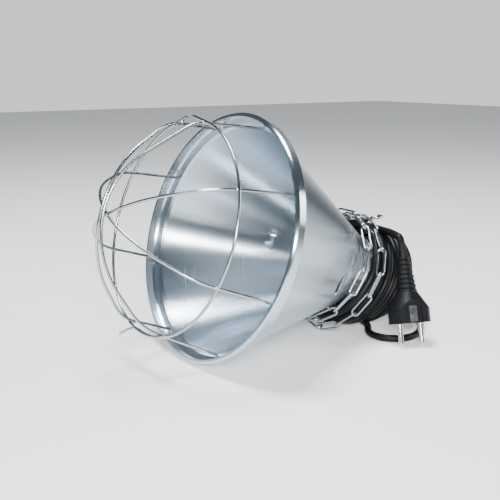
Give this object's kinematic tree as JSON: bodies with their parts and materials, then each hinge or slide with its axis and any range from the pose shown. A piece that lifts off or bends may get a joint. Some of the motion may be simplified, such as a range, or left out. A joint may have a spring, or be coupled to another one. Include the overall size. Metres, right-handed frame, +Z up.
{
  "type": "heat lamp fixture",
  "caption": "Hanging infrared brooder lamp: spun aluminium cone shade with wire guard, screw lampholder, chain wound on the neck and a coiled mains lead with plug.",
  "frame": {"origin": "on the surface that the lamp lies on, under the middle of the lamp's box measured without its cord, coil and plug", "axes": "+X along the lamp from the guard to the cord gland, level; +Y across, to the side away from the plug; +Z up. The lamp's own axis leans 16.9 degrees below +X."},
  "size_m": [0.3285, 0.2104, 0.2031],
  "materials": {
    "spun_aluminium": "spun and brushed round the axis, semi-bright",
    "cap_aluminium": "drawn, satin",
    "zinc_screws": "zinc plated steel",
    "ceramic_body": "white glazed porcelain",
    "brass_parts": "nickel-free brass, satin",
    "spring_steel": "bright spring wire",
    "gland_plastic": "black moulded nylon",
    "gland_rubber": "black rubber",
    "cord_rubber": "black rubber sheath, slight sheen",
    "core_brown": "brown insulation",
    "core_blue": "blue insulation",
    "core_green": "green insulation with a yellow stripe",
    "guard_wire": "zinc plated welded wire",
    "chain_zinc": "bright zinc plated chain",
    "plug_moulding": "black moulded plug",
    "pin_nickel": "nickel plated brass"
  },
  "bodies": {
    "lamp": {"shade": "spun_aluminium", "neck_cap": "cap_aluminium", "cap_screws": "zinc_screws", "holder_body": "ceramic_body", "screw_shell": "brass_parts", "live_terminal": "brass_parts", "neutral_terminal": "brass_parts", "terminal_screws": "zinc_screws", "holder_bracket": "zinc_screws", "bracket_screws": "zinc_screws", "cap_rivets": "zinc_screws", "earth_screw": "zinc_screws", "earth_washer": "zinc_screws", "earth_tag": "brass_parts", "gland_body": "gland_plastic", "gland_locknut": "gland_plastic", "gland_seal": "gland_rubber", "gland_dome_nut": "gland_plastic", "inner_jacket": "cord_rubber", "live_core": "core_brown", "neutral_core": "core_blue", "earth_core": "core_green", "chain_eye": "zinc_screws", "chain_eye_rivet": "zinc_screws", "chain_first_round": "chain_zinc", "chain_second_round": "chain_zinc", "cord_lead": "cord_rubber", "cord_coil": "cord_rubber", "cord_tail": "cord_rubber", "plug_body": "plug_moulding", "plug_pins": "pin_nickel", "plug_earth_clips": "pin_nickel", "plug_strain_relief": "plug_moulding"},
    "guard": {"guard_wire_a": "guard_wire", "guard_wire_b": "guard_wire", "guard_wire_c": "guard_wire", "guard_wire_d": "guard_wire", "guard_hoop_near": "guard_wire", "guard_hoop_far": "guard_wire"},
    "contact": {"centre_contact": "brass_parts", "contact_spring": "spring_steel"},
    "hook": {"chain_hook": "chain_zinc"}
  },
  "joints": [
    {"name": "guard_pull_off", "type": "slide", "parent": "lamp", "child": "guard", "axis": [-0.9568, 0, 0.2907], "range_m": [0, 0.06]},
    {"name": "contact_press", "type": "slide", "parent": "lamp", "child": "contact", "axis": [0.9568, 0, -0.2907], "range_m": [0, 0.0014], "stiffness_N_per_m": 500},
    {"name": "hook_swing", "type": "hinge", "parent": "lamp", "child": "hook", "pos_m": [0.12584, -0.00636, 0.1014], "axis": [0.061, -0.0913, -0.9939], "range_deg": [-12, 12]}
  ]
}
